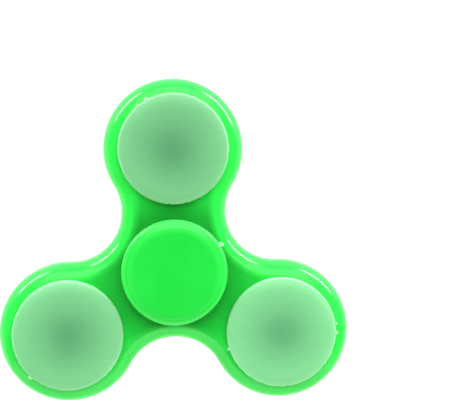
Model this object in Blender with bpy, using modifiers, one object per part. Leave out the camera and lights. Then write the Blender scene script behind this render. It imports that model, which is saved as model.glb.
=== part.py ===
"""Three-lobed fidget spinner with a press-to-light module in each lobe.

Metres, +Z up. The origin is on the spin axis, at the centre of the bottom finger pad's flat
rest face, so the spinner stands on z = 0 with one lobe pointing along +Y.

Heights in the constants below are measured from the frame's middle plane, because the
spinner is built outwards from it. An empty lifts the whole assembly so that it stands on z = 0.
"""

import math

import bmesh
import bpy
from mathutils import Matrix, Vector

# ---------------------------------------------------------------- driving dimensions
LOBE_ANGLES_DEG = (90, 210, 330)
LOBE_PITCH = 0.0261  # spin axis to the centre of a lobe
LOBE_RADIUS = 0.0149
NOTCH_DEPTH_RADIUS = 0.0145  # spin axis to the nearest point of the hollow between two lobes
FRAME_THICKNESS = 0.0100
FRAME_EDGE_RADIUS = 0.0040
MOUTH_CHAMFER = 0.0004
FIT = 0.0001  # radial gap of a pressed or seated piece

BEARING_OUTER_RADIUS = 0.0110  # a standard 8 x 22 x 7 mm ball bearing
BEARING_BORE_RADIUS = 0.0040
BEARING_WIDTH = 0.0070
BALL_COUNT = 7
BALL_RADIUS = 0.00195
BALL_PITCH_RADIUS = 0.0075
RACE_GROOVE_RADIUS = 0.00212
INNER_SHOULDER_RADIUS = 0.0061
OUTER_SHOULDER_RADIUS = 0.0089
RING_CORNER = 0.0003
SHIELD_SEAT_RADIUS = 0.0097
SHIELD_SEAT_DEPTH = 0.0006
SHIELD_INNER_RADIUS = 0.0064
SHIELD_OUTER_RADIUS = 0.0096
SHIELD_THICKNESS = 0.0003
CAGE_INNER_RADIUS = 0.0069
CAGE_OUTER_RADIUS = 0.0081
CAGE_TOP = 0.0011
CAGE_BOTTOM = -0.0024

PAD_RADIUS = 0.0112
PAD_TOP = 0.0078  # outer face of each finger pad, from the middle plane
PAD_UNDERSIDE = 0.0056
PAD_FLAT_RADIUS = 0.0079
PAD_EDGE_DROP = 0.0014
PAD_BOSS_RADIUS = 0.0055
PAD_STEM_END = 0.0002

CAP_RADIUS = 0.0117
CAP_TOP = 0.0069
CAP_RIM_UNDERSIDE = 0.0056
CAP_EDGE_RADIUS = 0.0009
CAP_CEILING = 0.0057
CAP_SKIRT_OUTER = 0.0092
CAP_SKIRT_INNER = 0.0084
CAP_SKIRT_BOTTOM = 0.0032
CAP_BEAD_RADIUS = 0.0097
CAP_BEAD_TOP = 0.0039
CAP_BOSS_RADIUS = 0.0020
CAP_BOSS_BOTTOM = 0.0046

HOUSING_RADIUS = 0.0110 - FIT
HOUSING_TOP = 0.0048
HOUSING_LIP_RADIUS = 0.0094
HOUSING_LIP_UNDERSIDE = 0.0041
HOUSING_UPPER_RADIUS = 0.0100
BOARD_LEDGE = 0.0005
CELL_ROOM_RADIUS = 0.0089
DOOR_RECESS_RADIUS = 0.0096
DOOR_SEAT = -0.0045
FLANGE_FACE = -0.0060
FLANGE_TOP = -0.0051
FLANGE_EDGE = 0.0004

BOARD_RADIUS = 0.0098
BOARD_BOTTOM = 0.0006
BOARD_TOP = 0.0014
CONTACT_DOME_RADIUS = 0.0012
CONTACT_DOME_BOTTOM = 0.0001

SWITCH_SIDE = 0.0052
SWITCH_BOTTOM = 0.0015
SWITCH_TOP = 0.0031
PLUNGER_RADIUS = 0.0014
PLUNGER_TOP = 0.0045
PLUNGER_FLANGE_RADIUS = 0.0019
PLUNGER_FLANGE_BOTTOM = 0.0023
PLUNGER_FLANGE_TOP = 0.00255
SWITCH_GAP = 0.0002

LED_SIZE = (0.0028, 0.0035, 0.0018)  # radial, tangential, high
LED_PITCH = 0.0062
LED_BOTTOM = 0.0015
LED_LENS_RADIUS = 0.0010
LED_LENS_DEPTH = 0.0003
LED_ANGLES_DEG = (0, 120, 240)

CELL_RADIUS = 0.00395  # LR41 button cell, 7.9 x 3.6 mm
CELL_BOTTOM = -0.00375
CELL_TOP = -0.00015
CELL_BUTTON_RADIUS = 0.0030
CELL_CRIMP = 0.0002
CELL_PITCH = 0.00475
CELL_ANGLES_DEG = (120, 240, 0)
STRIP_TOP = -0.00405
STRIP_THICKNESS = 0.0003
STRIP_END_RADIUS = 0.0020
RETURN_WIDTH = 0.0016
RETURN_ANGLE_DEG = 60  # the free corner between two cells, where the return contact rises
RETURN_PITCH = 0.0075
RETURN_TOP = 0.00045

DOOR_RADIUS = 0.00945
DOOR_INSIDE = -0.0046
TAB_REACH = 0.0103
TAB_WIDTH = 0.0030
TAB_BOTTOM = -0.0055
TAB_TOP = -0.0048
SCREW_PLACE = (-0.0075, 0)  # in the corner between two cells, on the hub's side
SCREW_HEAD_RADIUS = 0.0015
SCREW_HEAD_FACE = -0.00595
SCREW_HEAD_UNDERSIDE = -0.00525
SCREW_SHANK_RADIUS = 0.0008
SCREW_TIP = -0.0019
BOSS_RADIUS = 0.0018
PILOT_TOP = -0.0014
CROSS_LENGTH = 0.0018
CROSS_WIDTH = 0.0004
CROSS_DEPTH = 0.0004

BIG_ROUND = 32  # sides of the hub's and the pads' circles
MODULE_ROUND = 24  # sides of a light module's circles
CELL_ROUND = 16
SMALL_ROUND = 12  # sides of screws and plungers
OVERSHOOT = 0.0010  # how far a cutter runs past the face it opens

GREEN = ("green_plastic", (0.03, 0.86, 0.08), 0.28, 0.0)
FROSTED = ("frosted_plastic", (0.42, 0.80, 0.50), 0.55, 0.0)
STEEL = ("bearing_steel", (0.62, 0.63, 0.65), 0.25, 1.0)
CAGE_NYLON = ("cage_nylon", (0.75, 0.72, 0.62), 0.50, 0.0)
BOARD_GREEN = ("circuit_board", (0.80, 0.82, 0.80), 0.45, 0.0)
SWITCH_BLACK = ("switch_black", (0.03, 0.03, 0.03), 0.45, 0.0)
LED_WHITE = ("led_white", (0.90, 0.90, 0.86), 0.35, 0.0)
CELL_STEEL = ("cell_steel", (0.72, 0.72, 0.70), 0.30, 1.0)
NICKEL = ("contact_nickel", (0.70, 0.68, 0.62), 0.35, 1.0)
SCREW_STEEL = ("screw_steel", (0.35, 0.35, 0.37), 0.35, 1.0)


# ---------------------------------------------------------------- scene and helpers
def clear_scene():
    for obj in list(bpy.data.objects):
        bpy.data.objects.remove(obj, do_unlink=True)


def new_collection(name):
    collection = bpy.data.collections.new(name)
    bpy.context.scene.collection.children.link(collection)
    return collection


def material(spec):
    """The Principled material of one finish, made once."""
    name, colour, roughness, metallic = spec
    found = bpy.data.materials.get(name)
    if found:
        return found
    made = bpy.data.materials.new(name)
    made.use_nodes = True
    shader = made.node_tree.nodes["Principled BSDF"]
    shader.inputs["Base Color"].default_value = (*colour, 1.0)
    shader.inputs["Roughness"].default_value = roughness
    shader.inputs["Metallic"].default_value = metallic
    made.diffuse_color = (*colour, 1.0)
    return made


def empty(name, parent, location=(0, 0, 0), turn_deg=0):
    made = bpy.data.objects.new(name, None)
    PARTS.objects.link(made)
    made.parent = parent
    made.location = location
    made.rotation_euler = (0, 0, math.radians(turn_deg))
    return made


def add_object(name, data, parent, finish=None):
    """A part when it has a finish, and otherwise a cutter, which is not part of the spinner."""
    made = bpy.data.objects.new(name, data)
    (PARTS if finish else CUTTERS).objects.link(made)
    made.parent = parent
    if finish:
        data.materials.append(material(finish))
    else:
        made.hide_render = True
        made.display_type = "WIRE"
    return made


def mesh_of(name, bm):
    data = bpy.data.meshes.new(name)
    bmesh.ops.recalc_face_normals(bm, faces=bm.faces)
    bm.to_mesh(data)
    bm.free()
    return data


def turned(name, profile, parent, finish=None, sides=MODULE_ROUND, closed=False):
    """A profile of (radius, height) points, top to bottom down its outer side, turned about Z.
    A closed profile is a ring's section; an open one starts and ends on the axis."""
    data = bpy.data.meshes.new(name)
    edges = [(i, i + 1) for i in range(len(profile) - 1)]
    if closed:
        edges.append((len(profile) - 1, 0))
    data.from_pydata([(r, 0, z) for r, z in profile], edges, [])
    made = add_object(name, data, parent, finish)
    screw = made.modifiers.new("turn", "SCREW")
    screw.axis = "Z"
    screw.angle = math.tau
    screw.steps = screw.render_steps = sides
    screw.use_merge_vertices = True
    screw.merge_threshold = 1e-6
    screw.use_smooth_shade = True
    return made


def cylinder(name, radius, bottom, top, parent, finish=None, at=(0, 0), sides=SMALL_ROUND):
    bm = bmesh.new()
    place = Matrix.Translation((at[0], at[1], (bottom + top) / 2))
    bmesh.ops.create_cone(
        bm, cap_ends=True, segments=sides, radius1=radius, radius2=radius,
        depth=top - bottom, matrix=place,
    )
    return add_object(name, mesh_of(name, bm), parent, finish)


def box(name, size, centre, parent, finish=None):
    bm = bmesh.new()
    place = Matrix.Translation(centre) @ Matrix.Diagonal((*size, 1.0))
    bmesh.ops.create_cube(bm, size=1.0, matrix=place)
    return add_object(name, mesh_of(name, bm), parent, finish)


def boolean(target, tool, operation="DIFFERENCE"):
    step = target.modifiers.new(f"{operation.lower()}_{tool.name}", "BOOLEAN")
    step.operation = operation
    step.solver = "EXACT"
    step.object = tool


def draw(curve, outline):
    """Closes the outline's (x, y) points into one straight-sided loop of the curve."""
    spline = curve.splines.new("POLY")
    spline.points.add(len(outline) - 1)
    for point, (x, y) in zip(spline.points, outline):
        point.co = (x, y, 0, 1)
    spline.use_cyclic_u = True


def polar(radius, angle_deg):
    angle = math.radians(angle_deg)
    return (radius * math.cos(angle), radius * math.sin(angle))


def arc(centre, radius, start_deg, end_deg, steps):
    """Points along an arc, without its last one, as (x, y) or as a profile's (radius, height)."""
    points = []
    for i in range(steps):
        turn = math.radians(start_deg + (end_deg - start_deg) * i / steps)
        points.append((centre[0] + radius * math.cos(turn), centre[1] + radius * math.sin(turn)))
    return points


# ---------------------------------------------------------------- frame
def frame_outline():
    """Three lobe arcs joined by three hollow arcs that are tangent to them."""
    half_gap = LOBE_PITCH * math.sin(math.radians(60))
    along = LOBE_PITCH * math.cos(math.radians(60))
    lead = NOTCH_DEPTH_RADIUS - along
    notch_radius = (half_gap**2 + lead**2 - LOBE_RADIUS**2) / (2 * (LOBE_RADIUS - lead))
    notch_pitch = NOTCH_DEPTH_RADIUS + notch_radius
    points = []
    for lobe in LOBE_ANGLES_DEG:
        lobe_centre = Vector(polar(LOBE_PITCH, lobe))
        notch_centre = Vector(polar(notch_pitch, lobe + 60))
        tangent = notch_centre - lobe_centre
        half_sweep = (math.degrees(math.atan2(tangent.y, tangent.x)) - lobe) % 360
        points += arc(lobe_centre, LOBE_RADIUS, lobe - half_sweep, lobe + half_sweep, 26)
        notch_half = half_sweep - 60
        facing = lobe + 60 + 180
        points += arc(notch_centre, notch_radius, facing + notch_half, facing - notch_half, 8)
    return points


def bore_profile(radius):
    """A straight bore right through the frame, with a small chamfer at each mouth."""
    face = FRAME_THICKNESS / 2
    wide = radius + MOUTH_CHAMFER + OVERSHOOT
    return [
        (0, face + OVERSHOOT),
        (wide, face + OVERSHOOT),
        (radius, face - MOUTH_CHAMFER),
        (radius, -face + MOUTH_CHAMFER),
        (wide, -face - OVERSHOOT),
        (0, -face - OVERSHOOT),
    ]


def make_frame(centre, lobes):
    """The one-piece moulded body: an outline with round edges and four 22 mm bores."""
    curve = bpy.data.curves.new("frame_outline", "CURVE")
    curve.dimensions = "2D"
    curve.fill_mode = "BOTH"
    curve.extrude = FRAME_THICKNESS / 2 - FRAME_EDGE_RADIUS
    curve.bevel_depth = FRAME_EDGE_RADIUS
    curve.bevel_resolution = 2
    curve.offset = -FRAME_EDGE_RADIUS
    draw(curve, frame_outline())
    drawn = bpy.data.objects.new("frame_outline", curve)
    PARTS.objects.link(drawn)
    bpy.context.view_layer.update()
    graph = bpy.context.evaluated_depsgraph_get()
    data = bpy.data.meshes.new_from_object(drawn.evaluated_get(graph))
    bpy.data.objects.remove(drawn, do_unlink=True)
    bm = bmesh.new()
    bm.from_mesh(data)
    bmesh.ops.remove_doubles(bm, verts=bm.verts, dist=1e-6)
    frame = add_object("spinner_frame", mesh_of("spinner_frame", bm), centre, GREEN)
    hub_bore = turned(
        "cut_hub_bore", bore_profile(BEARING_OUTER_RADIUS + FIT), centre, sides=BIG_ROUND
    )
    boolean(frame, hub_bore)
    for number, lobe in enumerate(lobes, 1):
        boolean(frame, turned(f"cut_lobe_bore_{number}", bore_profile(HOUSING_RADIUS + FIT), lobe))


# ---------------------------------------------------------------- bearing
def groove(shoulder, inward):
    """Half of a race's section: a round groove for the balls, between two shoulders."""
    reach = shoulder - BALL_PITCH_RADIUS
    open_angle = math.degrees(math.acos(abs(reach) / RACE_GROOVE_RADIUS))
    start = 180 - open_angle if inward else -open_angle
    end = 180 + open_angle if inward else open_angle
    centre = (BALL_PITCH_RADIUS, 0)
    last = (shoulder, RACE_GROOVE_RADIUS * math.sin(math.radians(end)))
    return arc(centre, RACE_GROOVE_RADIUS, start, end, 4) + [last]


def make_rings(centre):
    face = BEARING_WIDTH / 2
    inner = [
        (BEARING_BORE_RADIUS + RING_CORNER, face),
        (INNER_SHOULDER_RADIUS, face),
        *groove(INNER_SHOULDER_RADIUS, inward=True),
        (INNER_SHOULDER_RADIUS, -face),
        (BEARING_BORE_RADIUS + RING_CORNER, -face),
        (BEARING_BORE_RADIUS, -face + RING_CORNER),
        (BEARING_BORE_RADIUS, face - RING_CORNER),
    ]
    turned("bearing_inner_ring", inner, centre, STEEL, BIG_ROUND, closed=True)
    seat = face - SHIELD_SEAT_DEPTH
    outer = [
        (BEARING_OUTER_RADIUS - RING_CORNER, face),
        (BEARING_OUTER_RADIUS, face - RING_CORNER),
        (BEARING_OUTER_RADIUS, -face + RING_CORNER),
        (BEARING_OUTER_RADIUS - RING_CORNER, -face),
        (SHIELD_SEAT_RADIUS, -face),
        (SHIELD_SEAT_RADIUS, -seat),
        (OUTER_SHOULDER_RADIUS, -seat),
        *groove(OUTER_SHOULDER_RADIUS, inward=False),
        (OUTER_SHOULDER_RADIUS, seat),
        (SHIELD_SEAT_RADIUS, seat),
        (SHIELD_SEAT_RADIUS, face),
    ]
    turned("bearing_outer_ring", outer, centre, STEEL, BIG_ROUND, closed=True)


def make_shields(centre):
    """A thin pressed disc at each face, held in the outer ring and clear of the inner one."""
    outside = BEARING_WIDTH / 2 - FIT
    inside = outside - SHIELD_THICKNESS
    for name, sign in (("top", 1), ("bottom", -1)):
        section = [
            (SHIELD_INNER_RADIUS, outside),
            (SHIELD_OUTER_RADIUS, outside),
            (SHIELD_OUTER_RADIUS, inside),
            (SHIELD_INNER_RADIUS, inside),
        ]
        if sign < 0:
            section = [(r, -z) for r, z in reversed(section)]
        turned(f"bearing_shield_{name}", section, centre, STEEL, BIG_ROUND, closed=True)


def make_cage_and_balls(centre):
    """A crown cage: a ring with a round pocket for each ball, open on its upper side."""
    turning = empty("cage_axis", centre)
    section = [
        (CAGE_OUTER_RADIUS, CAGE_TOP),
        (CAGE_OUTER_RADIUS, CAGE_BOTTOM),
        (CAGE_INNER_RADIUS, CAGE_BOTTOM),
        (CAGE_INNER_RADIUS, CAGE_TOP),
    ]
    cage = turned("bearing_cage", section, turning, CAGE_NYLON, BIG_ROUND, closed=True)
    bm = bmesh.new()
    for number in range(BALL_COUNT):
        x, y = polar(BALL_PITCH_RADIUS, number * 360 / BALL_COUNT)
        place = Matrix.Translation((x, y, 0))
        bmesh.ops.create_uvsphere(
            bm, u_segments=10, v_segments=7, radius=BALL_RADIUS + 2 * FIT, matrix=place
        )
        ball_axis = empty(f"ball_axis_{number + 1}", turning, (x, y, 0))
        ball = bmesh.new()
        bmesh.ops.create_uvsphere(ball, u_segments=9, v_segments=7, radius=BALL_RADIUS)
        name = f"bearing_ball_{number + 1}"
        add_object(name, mesh_of(name, ball), ball_axis, STEEL)
    boolean(cage, add_object("cut_ball_pockets", mesh_of("cut_ball_pockets", bm), turning))


# ---------------------------------------------------------------- finger pads
def make_pads(centre):
    """Two alike: a flat face with a long soft edge, a boss on the inner ring, a stem in its bore."""
    edge_reach = PAD_RADIUS - PAD_FLAT_RADIUS
    soft_edge = [
        (PAD_FLAT_RADIUS + edge_reach * r, PAD_TOP - PAD_EDGE_DROP * (1 - h))
        for r, h in arc((0, 0), 1, 90, 0, 4)
    ]
    ring_face = BEARING_WIDTH / 2 + FIT
    stem_radius = BEARING_BORE_RADIUS - FIT
    profile = [
        (0, PAD_TOP),
        *soft_edge,
        (PAD_RADIUS, PAD_TOP - PAD_EDGE_DROP),
        (PAD_RADIUS, PAD_UNDERSIDE),
        (PAD_BOSS_RADIUS, PAD_UNDERSIDE),
        (PAD_BOSS_RADIUS, ring_face),
        (stem_radius, ring_face),
        (stem_radius, PAD_STEM_END),
        (0, PAD_STEM_END),
    ]
    turned("finger_pad_top", profile, centre, GREEN, BIG_ROUND)
    mirrored = [(r, -z) for r, z in reversed(profile)]
    turned("finger_pad_bottom", mirrored, centre, GREEN, BIG_ROUND)


# ---------------------------------------------------------------- light modules
def make_housing(number, lobe):
    """The cup pressed into a lobe: board ledge, cell room, door recess, screw boss, back flange."""
    section = [
        (HOUSING_LIP_RADIUS, HOUSING_TOP),
        (HOUSING_RADIUS, HOUSING_TOP),
        (HOUSING_RADIUS, FLANGE_TOP),
        (CAP_RADIUS, FLANGE_TOP),
        (CAP_RADIUS, FLANGE_FACE + FLANGE_EDGE),
        (CAP_RADIUS - FLANGE_EDGE, FLANGE_FACE),
        (DOOR_RECESS_RADIUS, FLANGE_FACE),
        (DOOR_RECESS_RADIUS, DOOR_SEAT),
        (CELL_ROOM_RADIUS, DOOR_SEAT),
        (CELL_ROOM_RADIUS, BOARD_LEDGE),
        (HOUSING_UPPER_RADIUS, BOARD_LEDGE),
        (HOUSING_UPPER_RADIUS, HOUSING_LIP_UNDERSIDE),
        (HOUSING_LIP_RADIUS, HOUSING_LIP_UNDERSIDE),
    ]
    housing = turned(f"module_housing_{number}", section, lobe, FROSTED, closed=True)
    post = cylinder(
        f"join_boss_{number}", BOSS_RADIUS, DOOR_SEAT, BOARD_LEDGE, lobe, at=SCREW_PLACE
    )
    boolean(housing, post, "UNION")
    pilot = cylinder(
        f"cut_pilot_{number}", SCREW_SHANK_RADIUS + FIT, DOOR_SEAT - OVERSHOOT, PILOT_TOP, lobe,
        at=SCREW_PLACE,
    )
    boolean(housing, pilot)
    slot_size = (
        TAB_REACH - CELL_ROOM_RADIUS, TAB_WIDTH + 4 * FIT, TAB_TOP - TAB_BOTTOM + 4 * FIT
    )
    slot_centre = ((TAB_REACH + CELL_ROOM_RADIUS) / 2 + 2 * FIT, 0, (TAB_TOP + TAB_BOTTOM) / 2)
    boolean(housing, box(f"cut_tab_slot_{number}", slot_size, slot_centre, lobe))


def make_cap(number, button):
    """The frosted cap that is the lamp's lens and its push button: plate, skirt with bead, boss."""
    edge = arc((CAP_RADIUS - CAP_EDGE_RADIUS, CAP_TOP - CAP_EDGE_RADIUS), CAP_EDGE_RADIUS, 90, 0, 3)
    profile = [
        (0, CAP_TOP),
        *edge,
        (CAP_RADIUS, CAP_TOP - CAP_EDGE_RADIUS),
        (CAP_RADIUS, CAP_RIM_UNDERSIDE),
        (CAP_SKIRT_OUTER, CAP_RIM_UNDERSIDE),
        (CAP_SKIRT_OUTER, CAP_BEAD_TOP),
        (CAP_BEAD_RADIUS, CAP_BEAD_TOP),
        (CAP_SKIRT_OUTER, CAP_SKIRT_BOTTOM),
        (CAP_SKIRT_INNER, CAP_SKIRT_BOTTOM),
        (CAP_SKIRT_INNER, CAP_CEILING),
        (CAP_BOSS_RADIUS, CAP_CEILING),
        (CAP_BOSS_RADIUS, CAP_BOSS_BOTTOM),
        (0, CAP_BOSS_BOTTOM),
    ]
    turned(f"light_cap_{number}", profile, button, FROSTED)


def make_switch(number, lobe, button):
    """A square push switch: its body on the board, and its plunger, which moves with the cap."""
    side_height = SWITCH_TOP - SWITCH_BOTTOM
    middle = (0, 0, (SWITCH_TOP + SWITCH_BOTTOM) / 2)
    size = (SWITCH_SIDE, SWITCH_SIDE, side_height)
    body = box(f"switch_body_{number}", size, middle, lobe, SWITCH_BLACK)
    room_radius = PLUNGER_FLANGE_RADIUS + SWITCH_GAP
    mouth_radius = PLUNGER_RADIUS + SWITCH_GAP
    room = [
        (0, SWITCH_TOP + OVERSHOOT),
        (mouth_radius, SWITCH_TOP + OVERSHOOT),
        (mouth_radius, PLUNGER_FLANGE_TOP + SWITCH_GAP),
        (room_radius, PLUNGER_FLANGE_TOP + SWITCH_GAP),
        (room_radius, SWITCH_BOTTOM + SWITCH_GAP),
        (0, SWITCH_BOTTOM + SWITCH_GAP),
    ]
    boolean(body, turned(f"cut_switch_{number}", room, lobe, sides=SMALL_ROUND))
    plunger = [
        (0, PLUNGER_TOP),
        (PLUNGER_RADIUS, PLUNGER_TOP),
        (PLUNGER_RADIUS, PLUNGER_FLANGE_TOP),
        (PLUNGER_FLANGE_RADIUS, PLUNGER_FLANGE_TOP),
        (PLUNGER_FLANGE_RADIUS, PLUNGER_FLANGE_BOTTOM),
        (0, PLUNGER_FLANGE_BOTTOM),
    ]
    turned(f"switch_plunger_{number}", plunger, button, SWITCH_BLACK, SMALL_ROUND)


def make_board(number, lobe):
    """The round circuit board, with a spring contact dome under it for each cell."""
    name = f"circuit_board_{number}"
    board = cylinder(name, BOARD_RADIUS, BOARD_BOTTOM, BOARD_TOP, lobe, BOARD_GREEN, sides=MODULE_ROUND)
    for letter, angle in zip("abc", CELL_ANGLES_DEG):
        dome = cylinder(
            f"join_contact_{number}{letter}", CONTACT_DOME_RADIUS, CONTACT_DOME_BOTTOM,
            (BOARD_BOTTOM + BOARD_TOP) / 2, lobe, at=polar(CELL_PITCH, angle), sides=8,
        )
        boolean(board, dome, "UNION")


def make_leds(number, lobe):
    for letter, angle in zip("abc", LED_ANGLES_DEG):
        spot = empty(f"led_place_{number}{letter}", lobe, (*polar(LED_PITCH, angle), 0), angle)
        middle = (0, 0, LED_BOTTOM + LED_SIZE[2] / 2)
        led = box(f"led_{number}{letter}", LED_SIZE, middle, spot, LED_WHITE)
        face = LED_BOTTOM + LED_SIZE[2]
        lens = cylinder(
            f"cut_led_lens_{number}{letter}", LED_LENS_RADIUS, face - LED_LENS_DEPTH,
            face + OVERSHOOT, spot,
        )
        boolean(led, lens)


def make_cells(number, lobe):
    """Three button cells in series, so the second one lies upside down."""
    can = [
        (0, CELL_TOP),
        (CELL_BUTTON_RADIUS, CELL_TOP),
        (CELL_BUTTON_RADIUS + CELL_CRIMP / 2, CELL_TOP - CELL_CRIMP),
        (CELL_RADIUS, CELL_TOP - 2 * CELL_CRIMP),
        (CELL_RADIUS, CELL_BOTTOM),
        (0, CELL_BOTTOM),
    ]
    flipped = [(r, CELL_TOP + CELL_BOTTOM - z) for r, z in reversed(can)]
    for letter, angle in zip("abc", CELL_ANGLES_DEG):
        spot = empty(f"cell_place_{number}{letter}", lobe, (*polar(CELL_PITCH, angle), 0))
        shape = flipped if letter == "b" else can
        turned(f"button_cell_{number}{letter}", shape, spot, CELL_STEEL, CELL_ROUND)


def strip(name, outline, thickness, parent):
    """A flat outline of (x, y) points, half its thickness to each side of its own plane."""
    curve = bpy.data.curves.new(name, "CURVE")
    curve.dimensions = "2D"
    curve.fill_mode = "BOTH"
    curve.extrude = thickness / 2
    draw(curve, outline)
    return add_object(name, curve, parent, NICKEL)


def make_contacts(number, lobe):
    """Two nickel strips on the door's side of the cells: a bridge between the first and the
    second, and a bent one that takes the third's current up to the board."""
    x, y = polar(CELL_PITCH, CELL_ANGLES_DEG[0])
    ends = arc((x, y), STRIP_END_RADIUS, 0, 180, 6) + arc((x, -y), STRIP_END_RADIUS, 180, 360, 6)
    bridge = strip(f"bridge_contact_{number}", ends, STRIP_THICKNESS, lobe)
    bridge.location.z = STRIP_TOP - STRIP_THICKNESS / 2
    start = Vector(polar(CELL_PITCH, CELL_ANGLES_DEG[2]))
    along = Vector(polar(RETURN_PITCH, RETURN_ANGLE_DEG)) - start
    reach = along.length
    low = STRIP_TOP - STRIP_THICKNESS
    side_view = [
        (-STRIP_END_RADIUS, low),
        (reach, low),
        (reach, RETURN_TOP),
        (reach - STRIP_THICKNESS, RETURN_TOP),
        (reach - STRIP_THICKNESS, STRIP_TOP),
        (-STRIP_END_RADIUS, STRIP_TOP),
    ]
    bent = strip(f"return_contact_{number}", side_view, RETURN_WIDTH, lobe)
    bent.location = (*start, 0)
    bent.rotation_euler = (math.radians(90), 0, math.atan2(along.y, along.x))


def make_door(number, lobe):
    """The battery door in the back flange: a hook tab at its outer side, one screw at its inner."""
    door = cylinder(
        f"battery_door_{number}", DOOR_RADIUS, FLANGE_FACE, DOOR_INSIDE, lobe, FROSTED,
        sides=MODULE_ROUND,
    )
    tab_root = DOOR_RADIUS - OVERSHOOT
    tab_size = (TAB_REACH - tab_root, TAB_WIDTH, TAB_TOP - TAB_BOTTOM)
    tab_centre = ((TAB_REACH + tab_root) / 2, 0, (TAB_TOP + TAB_BOTTOM) / 2)
    boolean(door, box(f"join_tab_{number}", tab_size, tab_centre, lobe), "UNION")
    spot = empty(f"screw_place_{number}", lobe, (*SCREW_PLACE, 0))
    seat = [
        (0, DOOR_INSIDE + OVERSHOOT),
        (SCREW_SHANK_RADIUS + FIT, DOOR_INSIDE + OVERSHOOT),
        (SCREW_SHANK_RADIUS + FIT, SCREW_HEAD_UNDERSIDE + FIT),
        (SCREW_HEAD_RADIUS + FIT, SCREW_HEAD_UNDERSIDE + FIT),
        (SCREW_HEAD_RADIUS + FIT, FLANGE_FACE - OVERSHOOT),
        (0, FLANGE_FACE - OVERSHOOT),
    ]
    boolean(door, turned(f"cut_screw_seat_{number}", seat, spot, sides=SMALL_ROUND))
    make_screw(number, spot)


def make_screw(number, spot):
    profile = [
        (0, SCREW_TIP),
        (SCREW_SHANK_RADIUS / 2, SCREW_TIP),
        (SCREW_SHANK_RADIUS, SCREW_TIP - SCREW_SHANK_RADIUS),
        (SCREW_SHANK_RADIUS, SCREW_HEAD_UNDERSIDE),
        (SCREW_HEAD_RADIUS, SCREW_HEAD_UNDERSIDE),
        (SCREW_HEAD_RADIUS, SCREW_HEAD_FACE + FIT),
        (SCREW_HEAD_RADIUS - FIT, SCREW_HEAD_FACE),
        (0, SCREW_HEAD_FACE),
    ]
    screw = turned(f"door_screw_{number}", profile, spot, SCREW_STEEL, SMALL_ROUND)
    face = (0, 0, SCREW_HEAD_FACE)
    for letter, size in (("x", (CROSS_LENGTH, CROSS_WIDTH)), ("y", (CROSS_WIDTH, CROSS_LENGTH))):
        boolean(screw, box(f"cut_cross_{number}{letter}", (*size, 2 * CROSS_DEPTH), face, spot))


def main():
    centre = empty("middle_plane", None, (0, 0, PAD_TOP))
    lobes = [
        empty(f"lobe_{number}", centre, (*polar(LOBE_PITCH, angle), 0), angle)
        for number, angle in enumerate(LOBE_ANGLES_DEG, 1)
    ]
    make_frame(centre, lobes)
    make_rings(centre)
    make_shields(centre)
    make_cage_and_balls(centre)
    make_pads(centre)
    for number, lobe in enumerate(lobes, 1):
        button = empty(f"button_axis_{number}", lobe)
        make_housing(number, lobe)
        make_cap(number, button)
        make_switch(number, lobe, button)
        make_board(number, lobe)
        make_leds(number, lobe)
        make_cells(number, lobe)
        make_contacts(number, lobe)
        make_door(number, lobe)


clear_scene()
PARTS = new_collection("fidget_spinner")
CUTTERS = new_collection("cutters")
main()
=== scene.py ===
import math
import bmesh
import bpy
from mathutils import Matrix, Vector, noise


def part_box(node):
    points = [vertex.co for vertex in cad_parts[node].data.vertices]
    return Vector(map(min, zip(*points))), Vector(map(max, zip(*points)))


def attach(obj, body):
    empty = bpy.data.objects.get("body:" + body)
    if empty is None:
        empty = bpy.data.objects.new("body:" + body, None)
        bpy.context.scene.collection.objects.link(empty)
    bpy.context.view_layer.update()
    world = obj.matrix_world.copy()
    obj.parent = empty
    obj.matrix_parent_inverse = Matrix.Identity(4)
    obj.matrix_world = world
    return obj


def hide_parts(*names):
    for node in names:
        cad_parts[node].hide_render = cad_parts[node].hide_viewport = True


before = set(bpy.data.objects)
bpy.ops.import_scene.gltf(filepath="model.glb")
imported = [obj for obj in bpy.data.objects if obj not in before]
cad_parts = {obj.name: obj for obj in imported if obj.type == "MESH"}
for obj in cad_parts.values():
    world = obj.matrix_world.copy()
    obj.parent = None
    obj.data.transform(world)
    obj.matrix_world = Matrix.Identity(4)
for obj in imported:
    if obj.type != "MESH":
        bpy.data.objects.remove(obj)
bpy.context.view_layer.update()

# ------------------------------------------------------------ table, light and camera
# The spinner lies on its lower finger pad on a white sheet. Two low softboxes behind it, left
# and right, draw narrow bright lines along each rounded edge. Two wide ones fill the shade.

sheet_reach = 1.5
sheet_gap = 0.00002
room_light = 0.19
camera_place = (-0.0027, 0.0279, 0.2448)
camera_lean = (3.43, 3.34, 0.42)  # degrees about X, Y and Z off straight down
camera_lens = 87.9


def plug(tree, node, inputs):
    """Sets or links a node's inputs, each given by name or by number."""
    for key, value in dict(inputs).items():
        if isinstance(value, bpy.types.NodeSocket):
            tree.links.new(value, node.inputs[key])
        else:
            node.inputs[key].default_value = value


def placed(name, data):
    """An object in the scene, made of this mesh, curve, light or camera."""
    made = bpy.data.objects.new(name, data)
    bpy.context.scene.collection.objects.link(made)
    return made


sheet_data = bpy.data.meshes.new("white_sheet")
sheet_form = bmesh.new()
bmesh.ops.create_grid(sheet_form, x_segments=2, y_segments=2, size=sheet_reach)
sheet_form.to_mesh(sheet_data)
sheet_form.free()
sheet_data.transform(Matrix.Translation((0, 0, -sheet_gap)))
sheet = placed("white_sheet", sheet_data)
sheet_white = bpy.data.materials.new("white_sheet")
sheet_white.use_nodes = True
plug(sheet_white.node_tree, sheet_white.node_tree.nodes["Principled BSDF"], {
    "Base Color": (0.5, 0.5, 0.5, 1),
    "Roughness": 0.9,
    "Emission Color": (1, 1, 1, 1),
    "Emission Strength": 0.80,
})
sheet_data.materials.append(sheet_white)


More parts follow.
